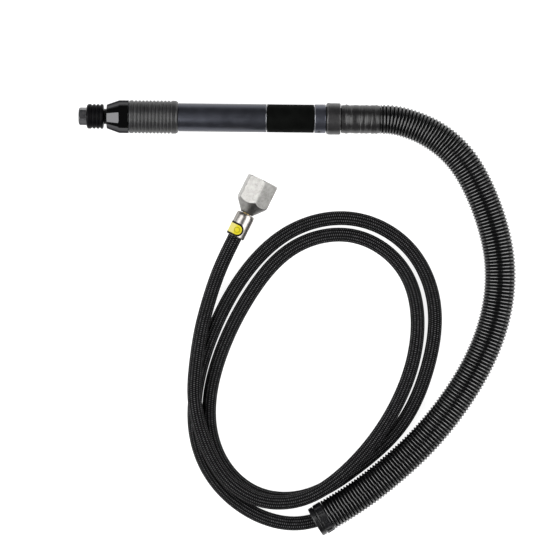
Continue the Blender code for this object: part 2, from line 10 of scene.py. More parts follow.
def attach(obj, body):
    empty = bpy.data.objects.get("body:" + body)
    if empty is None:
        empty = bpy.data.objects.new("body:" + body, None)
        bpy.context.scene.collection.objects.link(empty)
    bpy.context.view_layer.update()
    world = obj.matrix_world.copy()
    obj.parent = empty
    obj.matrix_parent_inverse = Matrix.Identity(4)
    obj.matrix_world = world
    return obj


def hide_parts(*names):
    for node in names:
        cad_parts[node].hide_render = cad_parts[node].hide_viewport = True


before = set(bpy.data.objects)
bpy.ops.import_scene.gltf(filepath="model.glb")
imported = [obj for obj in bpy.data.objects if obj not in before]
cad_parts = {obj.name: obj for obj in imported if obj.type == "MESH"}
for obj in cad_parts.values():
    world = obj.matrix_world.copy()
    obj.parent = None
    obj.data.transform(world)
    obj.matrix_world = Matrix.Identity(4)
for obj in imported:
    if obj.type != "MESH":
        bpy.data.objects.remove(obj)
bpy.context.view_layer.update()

GRIP_RADIUS = 0.0094
TIP_X = -0.08535
SLEEVE_END_X = 0.08535
GAP = 0.0003
FITTING_MOUTH = Vector((0.0039, -0.0673, 0.0098))
FITTING_HEADING = math.radians(64.1)
FITTING_VERTEX_ANGLE = math.radians(10.5)
NUT_VERTEX_ANGLE = math.radians(19.5)
HOSE_SEAT = 0.0110
HOSE_RADIUS = 0.0040
HOSE_START_X = TIP_X + 0.1503

# The view is straight down, with a long lens.
VIEW_CENTRE = (0.0236, -0.0857)
VIEW_WIDTH = 0.3056
VIEW_PLANE = 0.009
VIEW_TURN = math.radians(0.63)
LENS = 150.0
SENSOR = 36.0

# Centre line of the overhose, from just behind the shrink sleeve to its open end.
OVERHOSE_ROUTE = [
    (0.0890, 0.0000, 0.0094), (0.0985, -0.0014, 0.0093), (0.1097, -0.0053, 0.0092),
    (0.1213, -0.0122, 0.0091), (0.1318, -0.0224, 0.0091), (0.1404, -0.0361, 0.0091),
    (0.1483, -0.0550, 0.0091), (0.1537, -0.0780, 0.0091), (0.1538, -0.0990, 0.0091),
    (0.1490, -0.1211, 0.0091), (0.1399, -0.1422, 0.0091), (0.1273, -0.1625, 0.0091),
    (0.1116, -0.1819, 0.0091), (0.0925, -0.2000, 0.0091), (0.0729, -0.2152, 0.0091),
    (0.0583, -0.2245, 0.0091),
]

# Centre line of the air hose in the open, from the overhose's end to the ferrule.
HOSE_ROUTE = [
    (0.0500, -0.2281, 0.0071), (0.0412, -0.2298, 0.0057), (0.0288, -0.2289, 0.0042),
    (0.0059, -0.2179, 0.0041), (-0.0099, -0.2002, 0.0041), (-0.0176, -0.1777, 0.0041),
    (-0.0172, -0.1538, 0.0041), (-0.0073, -0.1193, 0.0041), (0.0099, -0.0878, 0.0041),
    (0.0361, -0.0635, 0.0041), (0.0707, -0.0564, 0.0041), (0.1022, -0.0722, 0.0041),
    (0.1174, -0.1043, 0.0041), (0.1143, -0.1398, 0.0041), (0.0998, -0.1728, 0.0041),
    (0.0743, -0.1978, 0.0041), (0.0430, -0.2150, 0.0041), (0.0195, -0.2138, 0.0041),
    (0.0006, -0.1997, 0.0041), (-0.0093, -0.1755, 0.0041), (-0.0089, -0.1541, 0.0041),
    (-0.0026, -0.1310, 0.0041), (0.0135, -0.0988, 0.0041), (0.0379, -0.0727, 0.0041),
    (0.0720, -0.0663, 0.0041), (0.1006, -0.0864, 0.0041), (0.1081, -0.1210, 0.0042),
    (0.0974, -0.1600, 0.0058), (0.0842, -0.1814, 0.0101), (0.0685, -0.1990, 0.0120),
    (0.0435, -0.2153, 0.0123), (0.0200, -0.2162, 0.0123), (0.0000, -0.2038, 0.0121),
    (-0.0120, -0.1832, 0.0118), (-0.0179, -0.1600, 0.0123), (-0.0172, -0.1380, 0.0120),
    (-0.0146, -0.1200, 0.0101), (-0.0104, -0.1030, 0.0072), (-0.0062, -0.0899, 0.0065),
    (-0.0003, -0.0760, 0.0089),
]


# ================================================================ camera

def make_camera():
    data = bpy.data.cameras.new("camera")
    data.lens = LENS
    data.sensor_width = SENSOR
    distance = VIEW_WIDTH * LENS / SENSOR
    data.clip_start = 0.01
    data.clip_end = 20
    camera = bpy.data.objects.new("camera", data)
    camera.location = (*VIEW_CENTRE, VIEW_PLANE + distance)
    camera.rotation_euler = (0, 0, VIEW_TURN)
    bpy.context.scene.collection.objects.link(camera)
    bpy.context.scene.camera = camera


make_camera()


# ================================================================ node helper

class Finish:
    """A material built up node by node; sockets are passed between the calls."""

    def __init__(self, name, colour=(0.5, 0.5, 0.5), roughness=0.5, metallic=0.0, **sockets):
        self.material = bpy.data.materials.new(name)
        self.material.use_nodes = True
        self.tree = self.material.node_tree
        self.shader = self.tree.nodes["Principled BSDF"]
        self.put(self.shader.inputs["Base Color"], (*colour, 1.0))
        self.put(self.shader.inputs["Roughness"], roughness)
        self.put(self.shader.inputs["Metallic"], metallic)
        for socket, value in sockets.items():
            self.put(self.shader.inputs[socket.replace("_", " ")], value)

    def put(self, socket, value):
        if isinstance(value, bpy.types.NodeSocket):
            self.tree.links.new(value, socket)
        elif hasattr(value, "__len__") and len(value) == 3 and socket.type == "RGBA":
            socket.default_value = (*value, 1.0)
        else:
            socket.default_value = value

    def node(self, kind, inputs=None, **settings):
        node = self.tree.nodes.new(kind)
        for name, value in settings.items():
            setattr(node, name, value)
        for name, value in (inputs or {}).items():
            self.put(node.inputs[name], value)
        return node

    def maths(self, operation, first, second=None, third=None):
        node = self.tree.nodes.new("ShaderNodeMath")
        node.operation = operation
        for socket, value in zip(node.inputs, (first, second, third)):
            if value is not None:
                self.put(socket, value)
        return node.outputs[0]

    def place(self, stretch=(1, 1, 1), source="Object"):
        """Coordinates in the piece's own metres, stretched along each axis."""
        coordinates = self.node("ShaderNodeTexCoord").outputs[source]
        node = self.node("ShaderNodeVectorMath", operation="MULTIPLY")
        self.put(node.inputs[0], coordinates)
        self.put(node.inputs[1], stretch)
        return node.outputs[0]

    def noise(self, size, detail=3.0, stretch=(1, 1, 1), roughness=0.5):
        """Noise from 0 to 1 whose features are about the given size."""
        node = self.node("ShaderNodeTexNoise", {
            "Vector": self.place(stretch), "Scale": 1.0 / size, "Detail": detail,
            "Roughness": roughness})
        return node.outputs["Fac"]

    def ramp(self, value, low, high, start=0.0, end=1.0):
        """The value's span from low to high, stretched over start to end."""
        node = self.node("ShaderNodeMapRange", {
            "Value": value, "From Min": low, "From Max": high, "To Min": start, "To Max": end})
        return node.outputs[0]

    def mix(self, factor, first, second):
        node = self.tree.nodes.new("ShaderNodeMix")
        node.data_type = "RGBA"
        self.put(node.inputs[0], factor)
        self.put(node.inputs[6], first)
        self.put(node.inputs[7], second)
        return node.outputs[2]

    def edges(self):
        """About 1 on convex edges, 0 elsewhere."""
        point = self.node("ShaderNodeNewGeometry").outputs["Pointiness"]
        return self.ramp(point, 0.52, 0.60)

    def colour(self, value):
        self.put(self.shader.inputs["Base Color"], value)

    def rough(self, value):
        self.put(self.shader.inputs["Roughness"], value)

    def bump(self, height, depth, strength=1.0):
        node = self.node("ShaderNodeBump", {
            "Height": height, "Distance": depth, "Strength": strength})
        if self.shader.inputs["Normal"].is_linked:
            self.put(node.inputs["Normal"], self.shader.inputs["Normal"].links[0].from_socket)
        self.put(self.shader.inputs["Normal"], node.outputs[0])


# ================================================================ finishes

def nose_finish():
    """Polished black plating, almost a mirror."""
    black = (0.064, 0.064, 0.066)
    f = Finish("black_gloss", black, 0.06, 1.0)
    f.put(f.shader.inputs["Specular Tint"], (0.30, 0.30, 0.30, 1.0))
    f.rough(f.ramp(f.noise(0.004, 4), 0.3, 0.8, 0.04, 0.09))
    # Convex edges are painted lighter grey: a painted highlight along the rims.
    f.colour(f.mix(f.edges(), black, (0.10, 0.10, 0.10)))
    f.bump(f.noise(0.0006, 2), 0.000003)
    return f.material


def chuck_finish():
    black = (0.0035, 0.0035, 0.004)
    f = Finish("chuck_black", black, 0.30)
    f.put(f.shader.inputs["Specular IOR Level"], 0.04)
    f.rough(f.ramp(f.noise(0.0015, 3), 0.3, 0.8, 0.26, 0.36))
    # Convex edges are painted lighter: a painted highlight along the rib rims.
    f.colour(f.mix(f.edges(), black, (0.03, 0.03, 0.03)))
    f.bump(f.noise(0.0004, 2, (0.2, 0.2, 3)), 0.000003)
    return f.material


def dark_steel_finish():
    f = Finish("dark_steel", (0.10, 0.10, 0.105), 0.32, 1.0)
    turned_lines = f.noise(0.0003, 3, (0.15, 0.15, 3))
    f.rough(f.ramp(turned_lines, 0.3, 0.8, 0.28, 0.46))
    blotch = f.ramp(f.noise(0.0020, 3), 0.35, 0.7)
    base = f.mix(blotch, (0.075, 0.075, 0.08), (0.13, 0.13, 0.135))
    # Convex edges are painted much lighter: a painted highlight on the hex corners and rims.
    f.colour(f.mix(f.edges(), base, (0.30, 0.30, 0.30)))
    f.bump(turned_lines, 0.00001)
    return f.material


def bright_steel_finish(name="bright_steel", colour=(0.50, 0.49, 0.48), low=0.14, high=0.26):
    f = Finish(name, colour, low, 1.0)
    turned_lines = f.noise(0.00025, 3, (0.15, 0.15, 3))
    f.rough(f.ramp(turned_lines, 0.3, 0.8, low, high))
    darker = tuple(c * 0.85 for c in colour)
    f.colour(f.mix(f.ramp(f.noise(0.003, 3), 0.3, 0.7), darker, colour))
    f.put(f.shader.inputs["Specular Tint"], (0.35, 0.33, 0.32, 1.0))
    f.bump(turned_lines, 0.000008)
    return f.material


def nickel_finish(name="satin_nickel", level=1.0):
    """Satin plating over a machined hex, with a fine cast grain."""
    f = Finish(name, (0.26, 0.255, 0.245), 0.30, 1.0)
    grain = f.noise(0.00055, 3, roughness=0.65)
    f.rough(f.ramp(grain, 0.3, 0.75, 0.28, 0.52))
    stain = f.ramp(f.noise(0.0025, 4), 0.35, 0.7)
    darker = tuple(level * c for c in (0.335, 0.329, 0.315))
    lighter = tuple(level * c for c in (0.405, 0.398, 0.382))
    pitted = f.mix(f.ramp(grain, 0.42, 0.58), tuple(c * 0.72 for c in darker), darker)
    base = f.mix(stain, pitted, lighter)
    # Convex edges are painted lighter: a painted highlight on the hex corners and rims.
    f.colour(f.mix(f.edges(), base, tuple(level * c for c in (0.47, 0.465, 0.455))))
    f.bump(grain, 0.00013)
    return f.material


def gunmetal_finish(name, level):
    """Dark anodised aluminium, bead-blasted fine, with a cold tint."""
    darker = tuple(level * c for c in (0.088, 0.092, 0.114))
    lighter = tuple(level * c for c in (0.102, 0.107, 0.131))
    f = Finish(name, darker, 0.36, 0.85)
    grain = f.noise(0.00018, 2)
    broad = f.noise(0.006, 3)
    f.rough(f.ramp(broad, 0.3, 0.7, 0.30, 0.37))
    f.colour(f.mix(f.ramp(broad, 0.3, 0.7), darker, lighter))
    f.bump(grain, 0.000006)
    return f.material


def rubber_finish(name, colour, low, high, grain_size, depth, shine=0.5):
    f = Finish(name, colour, high)
    f.put(f.shader.inputs["Specular IOR Level"], shine)
    grain = f.noise(grain_size, 4, roughness=0.6)
    cloud = f.noise(grain_size * 14, 3)
    f.rough(f.ramp(grain, 0.3, 0.75, low, high))
    lighter = tuple(c * 1.9 for c in colour)
    worn = f.mix(f.ramp(cloud, 0.35, 0.7), colour, lighter)
    # Convex edges are painted lighter: a painted highlight on lips and rims.
    f.colour(f.mix(f.edges(), worn, tuple(c * 3.2 for c in colour)))
    f.bump(grain, depth)
    return f.material


def overhose_finish():
    black = (0.0025, 0.0025, 0.0028)
    f = Finish("overhose_black", black, 0.20)
    f.put(f.shader.inputs["IOR"], 1.80)
    f.rough(f.ramp(f.noise(0.003, 3), 0.3, 0.8, 0.15, 0.24))
    f.bump(f.noise(0.0004, 3), 0.00001)
    return f.material


def braid_finish():
    """Rows of short strands, each row half a step on from the next, with pale flecks painted on the
    strand crowns as painted highlights.
    """
    rows_round = 14
    strand_length = 0.00112
    f = Finish("hose_braid", (0.003, 0.003, 0.003), 0.5)
    f.put(f.shader.inputs["Specular IOR Level"], 0.05)
    split = f.node("ShaderNodeSeparateXYZ")
    f.put(split.inputs[0], f.node("ShaderNodeUVMap", uv_map="braid").outputs[0])
    row_count = f.maths("MULTIPLY", split.outputs[0], rows_round)
    along_count = f.maths("DIVIDE", split.outputs[1], strand_length)
    shift = f.maths("MULTIPLY", f.maths("FLOOR", row_count), 0.5)
    across = f.maths("ABSOLUTE", f.maths("SINE", f.maths("MULTIPLY", row_count, math.pi)))
    phase = f.maths("MULTIPLY", f.maths("ADD", along_count, shift), math.tau)
    along = f.maths("MULTIPLY_ADD", f.maths("SINE", phase), 0.5, 0.5)
    height = f.maths("MULTIPLY", across, along)
    patch = f.ramp(f.noise(0.0016, 2), 0.32, 0.68, 0.35, 1.0)
    # The pale flecks are painted highlights on the strand crowns: lighter in colour and glossier.
    painted_fleck_highlight = f.maths("MULTIPLY", f.ramp(height, 0.40, 0.95), patch)
    f.colour(f.mix(painted_fleck_highlight, (0.0010, 0.0010, 0.0012), (0.115, 0.115, 0.118)))
    f.rough(f.ramp(painted_fleck_highlight, 0.0, 1.0, 0.70, 0.45))
    f.bump(height, 0.00025)
    return f.material


def label_finish():
    """Yellow label with a raised disc, a darker ring round that and a black rim; its straight part is
    painted paler as a painted highlight.
    """
    half_width = 0.0038
    rim_width = 0.00110
    f = Finish("label_yellow", (0.58, 0.48, 0.02), 0.60)
    f.put(f.shader.inputs["Specular IOR Level"], 0.12)
    split = f.node("ShaderNodeSeparateXYZ")
    f.put(split.inputs[0], f.node("ShaderNodeUVMap", uv_map="label").outputs[0])
    y_part = f.maths("POWER", split.outputs[1], 2.0)
    x_part = f.maths("POWER", split.outputs[0], 2.0)
    tip_part = f.maths("POWER", f.maths("MINIMUM", split.outputs[0], 0.0), 2.0)
    distance = f.maths("SQRT", f.maths("ADD", x_part, y_part))
    to_edge = f.maths("SQRT", f.maths("ADD", tip_part, y_part))
    ring = f.maths("COMPARE", distance, 0.00150, 0.00025)
    # The straight part, away from the disc, is painted a paler yellow: a painted highlight.
    straight_part_highlight = f.ramp(split.outputs[0], 0.0005, 0.0024)
    base = f.mix(straight_part_highlight, (0.52, 0.44, 0.008), (0.56, 0.50, 0.15))
    with_ring = f.mix(ring, base, (0.28, 0.25, 0.003))
    stain = f.ramp(f.noise(0.0008, 3), 0.3, 0.8, 0.0, 0.2)
    stained = f.mix(stain, with_ring, (0.48, 0.40, 0.04))
    rim = f.maths("GREATER_THAN", to_edge, half_width - rim_width)
    f.colour(f.mix(rim, stained, (0.006, 0.005, 0.003)))
    f.bump(f.noise(0.0003, 2), 0.00002)
    return f.material


def plain_metal(name, colour, roughness):
    f = Finish(name, colour, roughness, 1.0)
    f.rough(f.ramp(f.noise(0.0004, 3), 0.3, 0.8, roughness * 0.8, roughness * 1.3))
    f.bump(f.noise(0.0002, 3), 0.000008)
    return f.material


NOSE = nose_finish()
CHUCK = chuck_finish()
DARK_STEEL = dark_steel_finish()
BRIGHT_STEEL = bright_steel_finish()
FERRULE_STEEL = bright_steel_finish("ferrule_steel", (0.38, 0.362, 0.345), 0.26, 0.40)
EDGE_STEEL = bright_steel_finish("bare_edge", (0.26, 0.265, 0.28), 0.26, 0.38)
NICKEL = nickel_finish()
# The nut's front cone gets the same satin nickel at 0.58 of its brightness: painted shade.
SHADED_CONE_NICKEL = nickel_finish("cone_nickel_painted_shade", 0.58)
GUNMETAL = gunmetal_finish("gunmetal", 0.66)
RING_METAL = gunmetal_finish("ring_gunmetal", 0.95)
GRIP = rubber_finish("grip_rubber", (0.010, 0.010, 0.0105), 0.32, 0.46, 0.00035, 0.000015, 0.55)
SLEEVE = rubber_finish("sleeve_black", (0.0015, 0.0017, 0.0015), 0.60, 0.72, 0.0004, 0.000006, 0.03)
CUFF = rubber_finish("cuff_rubber", (0.010, 0.0095, 0.010), 0.28, 0.46, 0.0005, 0.00005, 0.55)
SHRINK = rubber_finish("shrink_sleeve", (0.007, 0.0067, 0.007), 0.25, 0.42, 0.0007, 0.00005)
SEAL = rubber_finish("seal_rubber", (0.012, 0.012, 0.012), 0.45, 0.6, 0.0003, 0.00002)
OVERHOSE = overhose_finish()
# Darker, nearly unreflective black for the overhose's grooves: painted shade.
GROOVE_SHADE = rubber_finish("groove_painted_shade", (0.0016, 0.0016, 0.0018), 0.6, 0.7, 0.0006, 0.00001, 0.05)
CLAMP = rubber_finish("clamp_plastic", (0.004, 0.004, 0.0046), 0.22, 0.36, 0.0006, 0.00002)
BRAID = braid_finish()
LABEL = label_finish()
BRASS = plain_metal("machined_brass", (0.60, 0.42, 0.17), 0.30)
STEEL = plain_metal("ground_steel", (0.46, 0.46, 0.47), 0.30)
COMPOSITE = rubber_finish("pressed_fibre", (0.20, 0.11, 0.05), 0.5, 0.7, 0.0006, 0.00003)


# ================================================================ shape helpers

def axis_frame(origin, heading):
    """A frame whose Z lies level along the heading and whose X points down."""
    c, s = math.cos(heading), math.sin(heading)
    return Matrix((
        (0, -s, c, origin[0]), (0, c, s, origin[1]), (-1, 0, 0, origin[2]), (0, 0, 0, 1)))


TOOL = axis_frame((TIP_X, 0, GRIP_RADIUS), 0)
FITTING = axis_frame(FITTING_MOUTH, FITTING_HEADING)


def add_piece(name, mesh, materials, body, replaced=(), place=None):
    obj = bpy.data.objects.new(name, mesh)
    if place is not None:
        obj.matrix_world = place
    for material in materials:
        mesh.materials.append(material)
    bpy.context.scene.collection.objects.link(obj)
    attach(obj, body)
    if replaced:
        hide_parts(*replaced)
    return obj


def close_mesh(mesh, sharp_angle=32):
    shape = bmesh.new()
    shape.from_mesh(mesh)
    bmesh.ops.remove_doubles(shape, verts=shape.verts, dist=1e-7)
    bmesh.ops.recalc_face_normals(shape, faces=shape.faces)
    shape.to_mesh(mesh)
    shape.free()
    mesh.shade_smooth()
    mesh.set_sharp_from_angle(angle=math.radians(sharp_angle))


def filleted(points, steps=5):
    """A closed outline of (station, radius, rounding) corners with each corner rounded."""
    outline = []
    count = len(points)
    for i, point in enumerate(points):
        here = np.array(point[:2], float)
        rounding = point[2] if len(point) > 2 else 0.0
        if not rounding:
            outline.append(tuple(here))
            continue
        before = np.array(points[i - 1][:2]) - here
        after = np.array(points[(i + 1) % count][:2]) - here
        back = min(rounding, 0.45 * np.linalg.norm(before), 0.45 * np.linalg.norm(after))
        start = here + before / np.linalg.norm(before) * back
        end = here + after / np.linalg.norm(after) * back
        for k in range(steps + 1):
            t = k / steps
            place = (1 - t) ** 2 * start + 2 * t * (1 - t) * here + t * t * end
            outline.append(tuple(place))
    return outline


def finely(outline, step):
    """The closed outline with its long sides split, so that a relief can shape them."""
    dense = []
    for i, start in enumerate(outline):
        end = outline[(i + 1) % len(outline)]
        pieces = max(1, math.ceil(math.dist(start, end) / step))
        for k in range(pieces):
            t = k / pieces
            dense.append((start[0] * (1 - t) + end[0] * t, start[1] * (1 - t) + end[1] * t))
    return dense


def turned_mesh(name, outline, segments=128, relief=None, sharp_angle=32, second_material=None):
    """A turned solid in its own frame. relief(station, radius, angle) gives a new radius."""
    outline = np.array(outline, float)
    angles = np.arange(segments) * math.tau / segments
    stations = np.repeat(outline[:, 0][:, None], segments, axis=1)
    radii = np.repeat(outline[:, 1][:, None], segments, axis=1)
    turns = np.repeat(angles[None, :], len(outline), axis=0)
    if relief is not None:
        radii = relief(stations, radii, turns)
    points = np.stack([radii * np.cos(turns), radii * np.sin(turns), stations], axis=2)
    mesh = grid_mesh(name, points, True)
    close_mesh(mesh, sharp_angle)
    if second_material is not None:
        low, high = second_material
        for face in mesh.polygons:
            if low <= face.center.z <= high:
                face.material_index = 1
    return mesh


def grid_mesh(name, points, closed_rows):
    """Quads over rows of points; every row is a closed ring."""
    rows, columns = points.shape[:2]
    last = rows if closed_rows else rows - 1
    i, j = np.meshgrid(np.arange(last), np.arange(columns), indexing="ij")
    below, beside = (i + 1) % rows, (j + 1) % columns
    faces = np.stack([
        i * columns + j, below * columns + j, below * columns + beside,
        i * columns + beside], axis=2).reshape(-1, 4)
    mesh = bpy.data.meshes.new(name)
    mesh.from_pydata(points.reshape(-1, 3).tolist(), [], faces.tolist())
    return mesh


def natural_spline(route, spacing):
    """Evenly spaced points on the smooth curve through the route's points."""
    points = np.array(route, dtype=float)
    count = len(points)
    spans = np.linalg.norm(np.diff(points, axis=0), axis=1)
    matrix = np.eye(count)
    right = np.zeros((count, 3))
    for i in range(1, count - 1):
        before, after = spans[i - 1], spans[i]
        matrix[i, i - 1:i + 2] = (before, 2 * (before + after), after)
        slope_after = (points[i + 1] - points[i]) / after
        slope_before = (points[i] - points[i - 1]) / before
        right[i] = 6 * (slope_after - slope_before)
    bend = np.linalg.solve(matrix, right)
    fine = []
    for i in range(count - 1):
        for u in np.linspace(0.0, 1.0, 60, endpoint=False):
            v = 1.0 - u
            lift = (v ** 3 - v) * bend[i] + (u ** 3 - u) * bend[i + 1]
            fine.append(v * points[i] + u * points[i + 1] + lift * spans[i] ** 2 / 6)
    fine.append(points[-1])
    fine = np.array(fine)
    lengths = np.linalg.norm(np.diff(fine, axis=0), axis=1)
    travelled = np.concatenate([[0.0], np.cumsum(lengths)])
    steps = max(2, round(travelled[-1] / spacing))
    stops = np.linspace(0.0, travelled[-1], steps + 1)
    columns = [np.interp(stops, travelled, fine[:, k]) for k in range(3)]
    return np.stack(columns, axis=1), stops


def line_frames(line):
    """Tangent, side and up vectors along a line that stays near level."""
    tangent = np.gradient(line, axis=0)
    tangent /= np.linalg.norm(tangent, axis=1)[:, None]
    side = np.cross(tangent, (0.0, 0.0, 1.0))
    side /= np.linalg.norm(side, axis=1)[:, None]
    up = np.cross(side, tangent)
    return side, up


def rings_along(line, radii, segments):
    side, up = line_frames(line)
    angles = np.arange(segments) * math.tau / segments
    circle = (np.cos(angles)[None, :, None] * side[:, None, :]
              + np.sin(angles)[None, :, None] * up[:, None, :])
    radii = np.asarray(radii, float)
    if radii.ndim == 1:
        radii = np.repeat(radii[:, None], segments, axis=1)
    return line[:, None, :] + circle * radii[:, :, None]


def smooth_step(value, low, high):
    t = np.clip((value - low) / (high - low), 0.0, 1.0)
    return t * t * (3 - 2 * t)


# ================================================================ hoses

def fitting_point(station):
    along = Vector((math.cos(FITTING_HEADING), math.sin(FITTING_HEADING), 0))
    return tuple(FITTING_MOUTH + along * station)


def make_overhose():
    """Corrugated tube whose ribs widen over its first stretch; the grooves get a darker, duller copy
    of the black as painted shade.
    """
    pitch = 0.00194
    depth = 0.00088
    bore_radius = 0.0069
    steps_per_rib = 10
    segments = 72
    start = [(SLEEVE_END_X + GAP, 0, GRIP_RADIUS), (0.0872, 0, GRIP_RADIUS)]
    line, travelled = natural_spline(start + OVERHOSE_ROUTE, pitch / steps_per_rib)
    crest = 0.00838 + 0.00060 * smooth_step(travelled, 0.0, 0.045)
    from_crest = np.abs((travelled / pitch + 0.5) % 1.0 - 0.5)
    fall = smooth_step(from_crest, 0.12, 0.46)
    outer = rings_along(line, crest - depth * fall, segments)
    bore_line = line[::2 * steps_per_rib]
    inner = rings_along(bore_line, np.full(len(bore_line), bore_radius), segments)[::-1]
    mesh = grid_mesh("corrugated_overhose", np.concatenate([outer, inner]), True)
    # Faces deep in the grooves take the painted-shade material.
    in_groove = np.zeros(len(mesh.polygons), np.int32)
    groove_rings = (fall[:-1] + fall[1:]) / 2 > 0.45
    in_groove[:segments * len(groove_rings)] = np.repeat(groove_rings, segments)
    mesh.polygons.foreach_set("material_index", in_groove)
    close_mesh(mesh, 60)
    piece = add_piece("corrugated_overhose", mesh, [OVERHOSE, GROOVE_SHADE], "handle",
                      ["overhose"])
    return piece, line, travelled[-1]


def make_air_hose():
    """Plain round hose with the braid's coordinates: turns round it, metres along it."""
    inside_tool = [(HOSE_START_X, 0, GRIP_RADIUS), (0.0750, 0, GRIP_RADIUS)]
    overhose_mouth = [(0.0583, -0.2248, 0.0083)]
    route = inside_tool + OVERHOSE_ROUTE[:-1] + overhose_mouth + HOSE_ROUTE
    route += [fitting_point(0), fitting_point(HOSE_SEAT)]
    line, travelled = natural_spline(route, 0.0010)
    segments = 48
    rings = rings_along(line, np.full(len(line), HOSE_RADIUS), segments)
    mesh = grid_mesh("braided_air_hose", rings, False)
    uv = mesh.uv_layers.new(name="braid")
    quads = len(mesh.polygons)
    i, j = np.divmod(np.arange(quads), segments)
    corner_u = np.stack([j, j, j + 1, j + 1], axis=1) / segments
    corner_v = travelled[np.stack([i, i + 1, i + 1, i], axis=1)]
    coordinates = np.stack([corner_u, corner_v], axis=2).astype(np.float32)
    uv.data.foreach_set("uv", coordinates.ravel())
    shape = bmesh.new()
    shape.from_mesh(mesh)
    bmesh.ops.holes_fill(shape, edges=[e for e in shape.edges if e.is_boundary])
    bmesh.ops.recalc_face_normals(shape, faces=shape.faces)
    shape.to_mesh(mesh)
    shape.free()
    mesh.shade_smooth()
    mesh.set_sharp_from_angle(angle=math.radians(40))
    piece = add_piece("braided_air_hose", mesh, [BRAID], "handle", ["air_hose"])
    return piece, line, travelled[-1]


def make_end_clamp(overhose_line):
    """Two moulded rings on the overhose's end, the wider one with a row of sunk pockets."""
    end = Vector(overhose_line[-1])
    direction = (end - Vector(overhose_line[-6])).normalized()
    place = axis_frame(end + direction * GAP, math.atan2(direction.y, direction.x))
    outline = finely(filleted([
        (0.0080, 0.0087, 0.0005), (0.0054, 0.0087, 0.0003), (0.0053, 0.0079, 0.0001),
        (0.0050, 0.0079, 0.0001), (0.0049, 0.0090, 0.0004), (0.0000, 0.0090, 0.0004),
        (0.0000, 0.0069, 0.0001), (0.0080, 0.0069, 0.0003),
    ], 4), 0.00012)
    pockets = 12

    def relief(station, radius, angle):
        share = (angle * pockets / math.tau) % 1.0
        across = smooth_step(share, 0.13, 0.18) - smooth_step(share, 0.82, 0.87)
        along = smooth_step(station, 0.0009, 0.0011) - smooth_step(station, 0.0040, 0.0042)
        outer = radius > 0.0084
        return radius - 0.0007 * across * along * outer

    mesh = turned_mesh("overhose_end_clamp", outline, 360, relief, 40)
    return add_piece("overhose_end_clamp", mesh, [CLAMP], "handle",
                     ["end_clamp"], place)


# ================================================================ hose fitting

def soft_min(first, second, softness):
    blend = np.clip(0.5 + 0.5 * (second - first) / softness, 0.0, 1.0)
    return second * (1 - blend) + first * blend - softness * blend * (1 - blend)


def hex_relief(across_flats, vertex_angle, softness):
    """Trims a turned envelope to a hexagon with slightly rounded corners."""
    sharpness = 90

    def relief(station, radius, angle):
        total = np.zeros_like(angle)
        for k in range(6):
            flat = vertex_angle + math.radians(30 + 60 * k)
            total += np.maximum(np.cos(angle - flat), 0.0) ** sharpness
        hexagon = across_flats / 2 / total ** (1 / sharpness)
        return soft_min(radius, hexagon, softness)

    return relief


def make_swivel_nut():
    outline = finely(filleted([
        (0.0355, 0.0089, 0.0002), (0.0347, 0.0101), (0.0220, 0.0098),
        (0.0146, 0.0035, 0.0003), (0.0146, 0.0026, 0.0001), (0.0186, 0.0026),
        (0.0186, 0.0059), (0.0345, 0.0059), (0.0355, 0.0066, 0.0001),
    ]), 0.00015)
    hexagon = hex_relief(0.0170, FITTING_VERTEX_ANGLE, 0.00012)
    thread_pitch = 0.00134

    def relief(station, radius, angle):
        turns = station / thread_pitch - angle / math.tau
        tooth = 1 - np.abs(2 * (turns % 1.0) - 1)
        in_bore = (np.abs(radius - 0.0059) < 0.00005) & (station > 0.0190)
        return hexagon(station, radius + 0.0006 * tooth * in_bore, angle)

    mesh = turned_mesh("swivel_nut_hex", outline, 240, relief, 38)
    # Faces of the front cone take the darker nickel copy, which is painted shade.
    for face in mesh.polygons:
        slope = abs(face.normal.z)
        if 0.3 < slope < 0.8 and face.center.z < 0.0222:
            face.material_index = 1
    return add_piece("swivel_nut_hex", mesh, [NICKEL, SHADED_CONE_NICKEL], "hose_swivel",
                     ["swivel_nut"], FITTING)


def make_ferrule():
    outline = filleted([
        (0.0143, 0.0047, 0.0003), (0.0130, 0.0052, 0.0008), (0.0004, 0.0052, 0.0003),
        (0.0000, 0.0050, 0.0002), (0.0000, 0.0046, 0.0001), (0.0130, 0.00475),
        (0.0130, 0.0026), (0.0143, 0.0026, 0.0002),
    ])
    mesh = turned_mesh("hose_ferrule", outline, 160)
    return add_piece("hose_ferrule", mesh, [FERRULE_STEEL], "handle",
                     ["crimp_ferrule"], FITTING)


